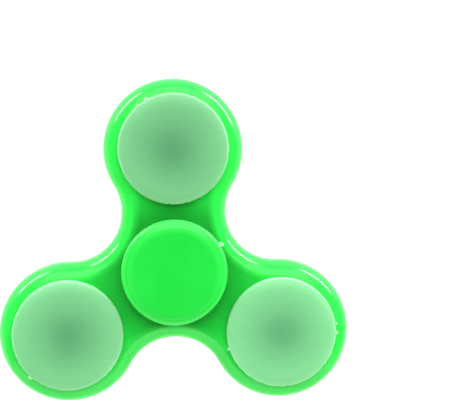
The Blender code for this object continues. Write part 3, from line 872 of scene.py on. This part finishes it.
def ball_mesh(form, radius, place, cuts):
    """A ball without poles: a cube divided into small squares and blown up round."""
    made = bmesh.ops.create_cube(form, size=2)["verts"]
    edges = {edge for vert in made for edge in vert.link_edges}
    whole = set(form.verts) - set(made)
    bmesh.ops.subdivide_edges(form, edges=list(edges), cuts=cuts, use_grid_fill=True)
    for vert in set(form.verts) - whole:
        vert.co = vert.co.normalized() * radius + Vector(place)


ground_steel = finish(
    "ground_steel", (0.50, 0.51, 0.53), (0.64, 0.65, 0.67), 350, (0.16, 0.28), 14000, 0.06, 1.0, hub_centre
)
inner_ring = ring("inner_ring", [
    (ring_bore_radius, 0),
    (ring_bore_radius, ring_half_width),
    (inner_shoulder, ring_half_width),
    *raceway(inner_shoulder, 180),
    (inner_shoulder, -ring_half_width),
    (ring_bore_radius, -ring_half_width),
], 0.0002)
fit(inner_ring, "bearing_inner_ring", "axle", ground_steel)
outer_ring = ring("outer_ring", [
    (ring_outer_radius, 0),
    (ring_outer_radius, -ring_half_width),
    (shield_seat_radius, -ring_half_width),
    (shield_seat_radius, -shield_seat),
    (outer_shoulder, -shield_seat),
    *raceway(outer_shoulder, 0),
    (outer_shoulder, shield_seat),
    (shield_seat_radius, shield_seat),
    (shield_seat_radius, ring_half_width),
    (ring_outer_radius, ring_half_width),
], 0.0002)
fit(outer_ring, "bearing_outer_ring", "spinner", ground_steel)

pressed_steel = finish(
    "pressed_steel", (0.46, 0.46, 0.45), (0.60, 0.60, 0.59), 500, (0.28, 0.42), 7000, 0.12, 1.0, hub_centre
)
shield_line = (
    (0.0064, 0.00312), (0.0069, 0.00312), (0.0071, 0.0033), (0.0080, 0.0033),
    (0.0090, 0.0033), (0.0092, 0.0032), (0.0096, 0.0032),
)
for side, sign in (("top", 1), ("bottom", -1)):
    half = sign * shield_thickness / 2
    sheet_steel = [(radius, sign * height + half) for radius, height in shield_line]
    sheet_steel += [(radius, sign * height - half) for radius, height in reversed(shield_line)]
    shield = ring(f"shield_{side}", sheet_steel, 0.00006)
    fit(shield, f"bearing_shield_{side}", "spinner", pressed_steel)

cage = ring("crown_cage", [
    (0.0081, 0), (0.0081, -0.0024), (0.0069, -0.0024), (0.0069, 0.0011), (0.0081, 0.0011),
], 0.00015)
pockets = bmesh.new()
ball_places = []
for x, y in arc((0, 0), ball_pitch, 0, 360, ball_count)[:-1]:
    ball_places.append(Vector((x, y, mid_height)))
    ball_mesh(pockets, pocket_radius, ball_places[-1], 11)
cut(cage, from_form("pockets", pockets))
cage_nylon = finish("natural_nylon", (0.66, 0.62, 0.52), (0.78, 0.75, 0.66), 300, (0.42, 0.58), 4000)
fit(cage, "bearing_cage", "cage", cage_nylon)

for number, place in enumerate(ball_places, 1):
    ball_form = bmesh.new()
    ball_mesh(ball_form, ball_radius, place, 15)
    ball = from_form(f"ball_{number}", ball_form)
    lapped = finish(
        f"lapped_steel_{number}", (0.60, 0.61, 0.63), (0.70, 0.71, 0.73), 900, (0.07, 0.14),
        22000, 0.03, 1.0, place,
    )
    fit(ball, f"bearing_ball_{number}", f"ball_{number}", lapped)

# ------------------------------------------------------------ lamp housings
# A milky moulded cup pressed into each lobe, where small crush ribs grip the wall. It has a lip
# that the cap snaps under, a ledge for the board, a room for the cells and a flange at the back.

housing_radius = 0.0109
flange_radius = cap_radius
flange_face = -0.0060
door_seat = -0.0045
door_recess_radius = 0.0096
board_ledge = 0.0005
screw_place = Vector((-0.0075, 0, 0))  # from the lamp's centre, on the side towards the hub
lobe_turns = [math.radians(angle) for angle in lobe_angles]
rib_sink = 0.993
hook_slot_size = (0.0014, 0.0034, 0.0011)
hook_slot_place = (0.0098, 0, -0.00515)


def crush_rib_tree():
    """Upright ribs set round the wall and joined to it as one solid."""
    tree, given = new_tree("crush_ribs", {
        "Count": ("Int", 18),
        "Wall Radius": ("Float", 0.0109),
        "Rib Radius": ("Float", 0.00016),
        "Rib Length": ("Float", 0.0078),
        "Material": ("Material", None),
    })
    spots = add(tree, "GeometryNodeMeshCircle", {"Vertices": given["Count"], "Radius": given["Wall Radius"]})
    rib = add(tree, "GeometryNodeMeshCylinder", {
        "Vertices": 12, "Radius": given["Rib Radius"], "Depth": given["Rib Length"],
    })
    ribs = copies(tree, spots.outputs[0], rib.outputs[0])
    sunk = add(tree, "GeometryNodeTransform", {"Geometry": ribs, "Scale": (rib_sink, rib_sink, 1)})
    whole = add(tree, "GeometryNodeMeshBoolean", operation="UNION", solver="EXACT")
    for part in (given["Geometry"], sunk.outputs[0]):
        tree.links.new(part, whole.inputs["Mesh 2"])
    keep(tree, whole.outputs[0], given["Material"])
    return tree


def block(name, size, place, corner, turn=0.0):
    """A box with rounded edges, turned about Z and then set down at its place."""
    form = bmesh.new()
    bmesh.ops.create_cube(form, size=1, matrix=Matrix.Diagonal((*size, 1)))
    bmesh.ops.bevel(form, geom=form.edges[:], offset=corner, segments=3, profile=0.5, affect="EDGES")
    form.transform(Matrix.Translation(place) @ Matrix.Rotation(turn, 4, "Z"))
    return from_form(name, form)


def into_lobe(piece, number):
    """Turns a piece so that its X axis points out of the hub, and sets it down in its lobe."""
    put(piece, lobe_turns[number - 1], lobe_centres[number - 1] + hub_centre)


def fit_in_lobe(piece, number, node, material, body="spinner"):
    """Sets a lamp's piece down in its lobe, where it stands for its CAD node."""
    into_lobe(piece, number)
    fit(piece, node, body, material)


def post(name, radius, low, high, place):
    """A round post or hole, on the axis of the screw or of another place in the lamp."""
    made = turned(name, [(0, high), (radius, high), (radius, low), (0, low)], 48)
    put(made, place=place)
    return made


def lamp_housing(name, plastic):
    cup = [
        (housing_radius, 0), (housing_radius, -0.0051), (flange_radius, -0.0051),
        (flange_radius, flange_face), (0.01088, flange_face), (0.01080, -0.00588),
        (0.01062, -0.00588), (0.01054, flange_face), (door_recess_radius, flange_face),
        (door_recess_radius, door_seat), (0.0089, door_seat), (0.0089, board_ledge),
        (0.0100, board_ledge), (0.0100, 0.0041), (0.0094, 0.0041), (0.0094, 0.0048),
        (housing_radius, 0.0048),
    ]
    shell = turned(name + "_cup", rounded(cup + cup[:1], 0.0003)[:-1], 144, closed=True)
    cut(shell, post("screw_boss", 0.0018, door_seat + 0.00001, board_ledge - 0.00001, screw_place), "UNION")
    cut(shell, post("screw_pilot", 0.0009, -0.0060, -0.0014, screw_place))
    cut(shell, block("hook_slot", hook_slot_size, hook_slot_place, 0.0001))
    ribbed = grown(name, shell.data, crush_rib_tree(), {
        "Wall Radius": housing_radius, "Material": plastic,
    })
    bpy.data.objects.remove(shell)
    close_shell(ribbed)
    return ribbed


milky_plastic = finish(
    "milky_plastic", (0.30, 0.58, 0.34), (0.37, 0.66, 0.41), 160, (0.38, 0.52), 3800, 0.10
)
shade(milky_plastic.node_tree, {
    "Subsurface Weight": 0.2,
    "Subsurface Radius": (0.7, 1.0, 0.7),
    "Subsurface Scale": 0.0010,
})
for number in (1, 2, 3):
    housing = lamp_housing(f"lamp_housing_{number}", milky_plastic)
    fit_in_lobe(housing, number, f"module_housing_{number}", milky_plastic)

# ------------------------------------------------------------ boards, switches and LEDs
# A round fibreglass board under a white mask. The push switch in its middle is black plastic
# under a steel cover, and round it stand three LEDs and a blob of epoxy over the flasher chip.

board_radius = 0.0098
board_low = 0.0006
board_high = 0.0014
cell_pitch = 0.00475
cell_angles = (120, 240, 0)
led_pitch = 0.0062
led_angles = (0, 120, 240)
led_size = Vector((0.0028, 0.0035, 0.0018))
switch_side = 0.0052
switch_low = 0.0015
switch_high = 0.0031
board_tracks = ((0.0044, 0.00018), (0.0086, 0.00025))  # middle radius and half width
bowl_line = ((0, 0.0030), (0.00115, 0.0030), (0.00100, 0.0017), (0.00082, 0.00155), (0, 0.00155))


def spot(radius, angle, height=0.0):
    """A place round the lamp's axis."""
    turn = math.radians(angle)
    return Vector((radius * math.cos(turn), radius * math.sin(turn), height))


def joined(name, parts):
    """Several solids of different materials as one piece."""
    form = bmesh.new()
    data = bpy.data.meshes.new(name)
    for part, material in parts:
        if material.name not in data.materials:
            data.materials.append(material)
        start = len(form.faces)
        form.from_mesh(part.data)
        form.faces.ensure_lookup_table()
        for face in form.faces[start:]:
            face.material_index = data.materials.find(material.name)
        bpy.data.objects.remove(part)
    form.to_mesh(data)
    form.free()
    return placed(name, data)


def dome(name, radius, height, base, place):
    """A low round cushion of metal or epoxy, flat below and bulging above, or below if negative."""
    turns = [math.pi / 2 * step / 8 for step in range(8)]
    bulge = [(radius * math.cos(turn), base + height * math.sin(turn)) for turn in turns]
    made = turned(name, [(0, base), *bulge, (0, base + height)], 48)
    put(made, place=place)
    return made


def masked_board(name, centre):
    """White mask over two round tracks, which show as faint raised rings."""
    made = finish(name, (0.74, 0.77, 0.74), (0.82, 0.84, 0.82), 260, (0.34, 0.46), 3000)
    tree = made.node_tree
    where = tree.nodes.new("ShaderNodeTexCoord").outputs["Object"]
    away = from_axis(tree, where, centre)[1]
    inner, outer = (calc(tree, "COMPARE", away, middle, half) for middle, half in board_tracks)
    tracks = calc(tree, "MAXIMUM", inner, outer)
    shader = tree.nodes["Principled BSDF"]
    plain = shader.inputs["Base Color"].links[0].from_socket
    raised = add(tree, "ShaderNodeBump", {
        "Height": tracks, "Normal": shader.inputs["Normal"].links[0].from_socket,
        "Strength": 0.3, "Distance": 0.00004,
    })
    shade(tree, {
        "Base Color": scaled(tree, plain, remap(tree, tracks, 0.0, 1.0, 1.0, 0.86)),
        "Normal": raised.outputs[0],
    })
    return made


nickel = finish("nickel_plate", (0.58, 0.56, 0.50), (0.70, 0.68, 0.62), 700, (0.22, 0.36), 6000, 0.06, 1.0)
epoxy = finish("black_epoxy", (0.012, 0.012, 0.013), (0.022, 0.022, 0.024), 500, (0.22, 0.34), 2500)
switch_black = finish("black_acetal", (0.016, 0.016, 0.017), (0.028, 0.028, 0.030), 600, (0.40, 0.55), 5000)
led_white = finish("white_reflector", (0.74, 0.74, 0.69), (0.84, 0.84, 0.80), 600, (0.28, 0.40), 5000)
led_resin = finish("led_resin", (0.70, 0.62, 0.22), (0.80, 0.72, 0.32), 900, (0.06, 0.14), 3000, 0.03)


def solder(name, place, size):
    """A tinned leg with its solder, as a small rounded foot."""
    return block(name, size, place, 0.00004)


def circuit_board(name, mask):
    edge = [(0, board_high), (board_radius, board_high), (board_radius, board_low), (0, board_low)]
    parts = [(turned("disc", rounded(edge, 0.0001), 128), mask)]
    for angle in cell_angles:
        contact = dome("contact", 0.0012, -0.0005, board_low + 0.00001, spot(cell_pitch, angle))
        parts.append((contact, nickel))
    parts.append((dome("blob", 0.0014, 0.0007, board_high - 0.00001, spot(led_pitch, 180)), epoxy))
    return joined(name, parts)


def switch_body(name):
    body = block("case", (switch_side, switch_side, 0.00136), (0, 0, 0.00218), 0.00025)
    cover = block("cover", (switch_side - 0.0001, switch_side - 0.0001, 0.00023), (0, 0, 0.00298), 0.00006)
    cut(body, post("room", 0.0021, 0.0017, 0.0040, (0, 0, 0)))
    cut(cover, post("mouth", 0.0016, 0.0020, 0.0040, (0, 0, 0)))
    parts = [(body, switch_black), (cover, nickel)]
    for angle in (45, 135, 225, 315):
        stud = dome("stud", 0.00032, 0.00016, switch_high - 0.00021, spot(0.0031, angle))
        parts.append((stud, switch_black))
    return joined(name, parts)


def led(name):
    low = switch_low
    body = block("body", led_size, (0, 0, low + led_size.z / 2), 0.00008)
    cut(body, turned("bowl", [(radius, low + height) for radius, height in bowl_line], 48))
    resin = dome("resin", 0.00084, 0.00012, low + 0.00158, (0, 0, 0))
    parts = [(body, led_white), (resin, led_resin)]
    for side in (-1, 1):
        foot = (side * 0.00141, 0, low + 0.0004)
        parts.append((solder("leg", foot, (0.00014, 0.0022, 0.0007)), nickel))
    return joined(name, parts)


for number in (1, 2, 3):
    lamp_centre = lobe_centres[number - 1] + hub_centre
    mask = masked_board(f"board_mask_{number}", lamp_centre)
    board = circuit_board(f"board_{number}", mask)
    fit_in_lobe(board, number, f"circuit_board_{number}", mask)
    body = switch_body(f"switch_{number}")
    fit_in_lobe(body, number, f"switch_body_{number}", switch_black)
    stem = rounded([
        (0, 0.0045), (0.0014, 0.0045), (0.0014, 0.00255), (0.0019, 0.00255), (0.0019, 0.0023), (0, 0.0023),
    ], 0.00012)
    plunger = turned(f"plunger_{number}", stem, 64)
    fit_in_lobe(
        plunger, number, f"switch_plunger_{number}", switch_black, f"light_button_{number}"
    )
    for letter, angle in zip("abc", led_angles):
        lamp = led(f"lamp_led_{number}{letter}")
        put(lamp, math.radians(angle), spot(led_pitch, angle))
        fit_in_lobe(lamp, number, f"led_{number}{letter}", led_white)

# ------------------------------------------------------------ button cells and contacts
# Three 7.9 x 3.6 mm cells in series in each lamp, the second one upside down. Each is a pressed
# steel can crimped over a lid with a nylon seal. Two sprung nickel strips carry the current.

cell_low = -0.00375
cell_high = -0.00015
can_radius = 0.00395
lid_radius = 0.0030
strip_low = -0.00435
strip_high = -0.00405
strip_end_radius = 0.0020
riser_place = spot(0.0075, 60)
riser_top = 0.00045


def button_cell(name, upside_down, centre):
    """The lid stands a little proud of the can, with the dark seal as a ring between them."""
    shelf = cell_high - 0.00030
    can = rounded([
        (0, shelf - 0.0003), (lid_radius + 0.00018, shelf - 0.0003), (lid_radius + 0.00018, shelf),
        (can_radius - 0.0001, shelf), (can_radius, shelf - 0.0002), (can_radius, cell_low), (0, cell_low),
    ], 0.00022)
    lid = rounded([
        (0, cell_high), (lid_radius, cell_high), (lid_radius, shelf - 0.00029), (0, shelf - 0.00029),
    ], 0.00025)
    seal = [
        (lid_radius - 0.00004, shelf - 0.00002), (lid_radius + 0.00022, shelf - 0.00002),
        (lid_radius + 0.00022, shelf - 0.00032), (lid_radius - 0.00004, shelf - 0.00032),
    ]
    steel = finish(
        name + "_steel", (0.56, 0.56, 0.54), (0.70, 0.70, 0.68), 500, (0.20, 0.34), 9000, 0.08, 1.0, centre
    )
    parts = [(turned("can", can, 96), steel), (turned("lid", lid, 96), steel)]
    parts.append((turned("seal", seal, 96, closed=True), seal_nylon))
    made = joined(name, parts)
    if upside_down:
        turned_over = Matrix.Rotation(math.pi, 4, "X")
        made.data.transform(Matrix.Translation((0, 0, cell_low + cell_high)) @ turned_over)
    return made


def pressed_strip(name, outline, low, high, corner):
    """A flat outline of (x, y) points cut from sheet, its edges rolled a little by the die."""
    form = bmesh.new()
    rows = [[form.verts.new((x, y, height)) for x, y in outline] for height in (low, high)]
    for row in rows:
        form.faces.new(row)
    for step in range(len(outline)):
        before = step - 1
        form.faces.new((rows[0][before], rows[0][step], rows[1][step], rows[1][before]))
    rims = [edge for edge in form.edges if abs(edge.verts[0].co.z - edge.verts[1].co.z) < 1e-7]
    bmesh.ops.bevel(form, geom=rims, offset=corner, segments=2, profile=0.5, affect="EDGES")
    return from_form(name, form)


def bridge_contact(name):
    """Joins the first two cells, with a dimple pressed towards each."""
    x, y, _ = spot(cell_pitch, cell_angles[0])
    ends = arc((x, y), strip_end_radius, 0, 180, 24) + arc((x, -y), strip_end_radius, 180, 360, 24)
    strip = pressed_strip(name + "_strip", ends, strip_low, strip_high, 0.00005)
    dimples = [dome("dimple", 0.0008, 0.00022, strip_high - 0.00001, (x, side, 0)) for side in (y, -y)]
    return joined(name, [(strip, nickel), *((dimple, nickel) for dimple in dimples)])


def return_contact(name):
    """Runs from under the third cell to a free corner, and is bent up there to the board."""
    start = spot(cell_pitch, cell_angles[2])
    along = riser_place - start
    reach = along.length
    thickness = strip_high - strip_low
    side_view = rounded([
        (0, strip_low), (reach, strip_low), (reach, riser_top), (reach - thickness, riser_top),
        (reach - thickness, strip_high), (-strip_end_radius, strip_high),
        (-strip_end_radius, strip_low), (0, strip_low),
    ], 0.00022)[:-1]
    strip = pressed_strip(name + "_strip", side_view, -0.0008, 0.0008, 0.00004)
    upright = Matrix.Rotation(math.atan2(along.y, along.x), 4, "Z") @ Matrix.Rotation(math.pi / 2, 4, "X")
    strip.data.transform(Matrix.Translation(start) @ upright)
    dimple = dome("dimple", 0.0006, 0.00022, strip_high - 0.00001, start)
    return joined(name, [(strip, nickel), (dimple, nickel)])


seal_nylon = finish("seal_nylon", (0.05, 0.05, 0.05), (0.10, 0.10, 0.10), 700, (0.45, 0.60), 5000)
for number in (1, 2, 3):
    for letter, angle in zip("abc", cell_angles):
        place = spot(cell_pitch, angle)
        turn = Matrix.Rotation(lobe_turns[number - 1], 3, "Z")
        cell = button_cell(f"cell_{number}{letter}", letter == "b", lobe_centres[number - 1] + turn @ place)
        cell.data.transform(Matrix.Translation(place))
        fit_in_lobe(cell, number, f"button_cell_{number}{letter}", nickel)
    for kind, make in (("bridge", bridge_contact), ("return", return_contact)):
        contact = make(f"{kind}_strip_{number}")
        fit_in_lobe(contact, number, f"{kind}_contact_{number}", nickel)

# ------------------------------------------------------------ battery doors and screws
# A milky round door closes each lamp at the back. A hook tab goes in at its outer side, one
# small self-tapping screw holds it towards the hub, and a row of scoops gives a nail some grip.

door_radius = 0.00945
door_inside = -0.0046
screw_head_radius = 0.0015
screw_head_face = -0.00595
screw_head_underside = -0.00525
thread_start = -0.0049
thread_end = -0.0024
screw_tip = -0.0019
thread_depth = 0.00017
shank_radius = 0.00062
shank_rows = 56


def grip_scoop_tree():
    """A row of long shallow scoops taken out of the door's outer face."""
    tree, given = new_tree("grip_scoops", {
        "Count": ("Int", 5),
        "First": ("Vector", (0.0036, 0, 0)),
        "Spacing": ("Vector", (0.00095, 0, 0)),
        "Half Size": ("Vector", (0.00032, 0.0028, 0.0003)),
        "Material": ("Material", None),
    })
    row = add(tree, "GeometryNodeMeshLine", {
        "Count": given["Count"], "Start Location": given["First"], "Offset": given["Spacing"],
    })
    scoop = add(tree, "GeometryNodeMeshUVSphere", {"Segments": 32, "Rings": 16, "Radius": 1.0})
    scooped = taken_out(tree, given["Geometry"], copies(
        tree, row.outputs[0], scoop.outputs[0], Scale=given["Half Size"],
    ))
    keep(tree, scooped, given["Material"])
    return tree


def thread_tree():
    """Raises a thread on a turned shank by moving its points outwards along a helix."""
    tree, given = new_tree("thread", {
        "Pitch": ("Float", 0.0005),
        "Depth": ("Float", 0.0002),
        "Start": ("Float", -0.0049),
        "End": ("Float", -0.0024),
        "Material": ("Material", None),
    })
    place = tree.nodes.new("GeometryNodeInputPosition").outputs[0]
    parts = xyz(tree, place)
    turns = calc(tree, "DIVIDE", calc(tree, "ARCTAN2", parts["Y"], parts["X"]), math.tau)
    phase = calc(tree, "SUBTRACT", calc(tree, "DIVIDE", parts["Z"], given["Pitch"]), turns)
    ridge = calc(tree, "PINGPONG", phase, 0.5)
    height = remap(tree, ridge, 0.1, 0.42, 0.0, given["Depth"])
    below = calc(tree, "GREATER_THAN", parts["Z"], given["Start"])
    above = calc(tree, "LESS_THAN", parts["Z"], given["End"])
    lift = calc(tree, "MULTIPLY", height, calc(tree, "MULTIPLY", below, above))
    outward = vector_calc(tree, "NORMALIZE", vector_calc(tree, "MULTIPLY", place, (1, 1, 0)))
    threaded = add(tree, "GeometryNodeSetPosition", {
        "Geometry": given["Geometry"], "Offset": scaled(tree, outward, lift),
    })
    keep(tree, threaded.outputs[0], given["Material"])
    return tree


def battery_door(name, plastic):
    face = flange_face
    blank = rounded([
        (0, door_inside), (door_radius, door_inside), (door_radius, face), (0.0089, face),
        (0.00882, face + 0.0001), (0.0087, face + 0.0001), (0.00862, face), (0, face),
    ], 0.00022)
    door = turned(name + "_blank", blank, 128)
    cut(door, block("hook", (0.0018, 0.0030, 0.0007), (0.0094, 0, -0.00515), 0.00015), "UNION")
    seat = turned("screw_seat", [
        (0, -0.0040), (0.0009, -0.0040), (0.0009, -0.00515), (0.0016, -0.00515),
        (0.0016, -0.0070), (0, -0.0070),
    ], 48)
    put(seat, place=screw_place)
    cut(door, seat)
    scooped = grown(name, door.data, grip_scoop_tree(), {
        "First": (0.0028, 0, face), "Material": plastic,
    })
    bpy.data.objects.remove(door)
    close_shell(scooped)
    return scooped


def door_screw(name, steel):
    """A pan head with a cross recess, a threaded shank and a blunt point."""
    thread_reach = thread_end - thread_start + 0.0002
    shank = [
        (shank_radius, thread_start - 0.0001 + thread_reach * step / shank_rows)
        for step in range(shank_rows + 1)
    ]
    outline = [
        (0, screw_head_face), (screw_head_radius - 0.00025, screw_head_face),
        (screw_head_radius - 0.00008, screw_head_face + 0.00012),
        (screw_head_radius, screw_head_face + 0.0003), (screw_head_radius, screw_head_underside),
        (shank_radius, screw_head_underside), *shank, (0.0003, screw_tip), (0, screw_tip),
    ]
    blank = turned(name + "_blank", outline, 48)
    screw = grown(name, blank.data, thread_tree(), {
        "Start": thread_start, "End": thread_end, "Depth": thread_depth, "Material": steel,
    })
    bpy.data.objects.remove(blank)
    cross, arm = (
        block("cross", (0.0018, 0.00038, 0.0008), (0, 0, screw_head_face), 0.00012, turn)
        for turn in (0, math.pi / 2)
    )
    cut(cross, arm, "UNION")
    cut(screw, cross)
    put(screw, math.radians(28), screw_place)
    return screw


for number in (1, 2, 3):
    door = battery_door(f"rear_door_{number}", milky_plastic)
    fit_in_lobe(door, number, f"battery_door_{number}", milky_plastic)
    into_place = Matrix.Rotation(lobe_turns[number - 1], 3, "Z")
    zinc = finish(
        f"zinc_plate_{number}", (0.30, 0.31, 0.33), (0.46, 0.46, 0.47), 900, (0.24, 0.40),
        9000, 0.08, 1.0, lobe_centres[number - 1] + into_place @ screw_place,
    )
    screw = door_screw(f"cross_screw_{number}", zinc)
    fit_in_lobe(screw, number, f"door_screw_{number}", zinc)
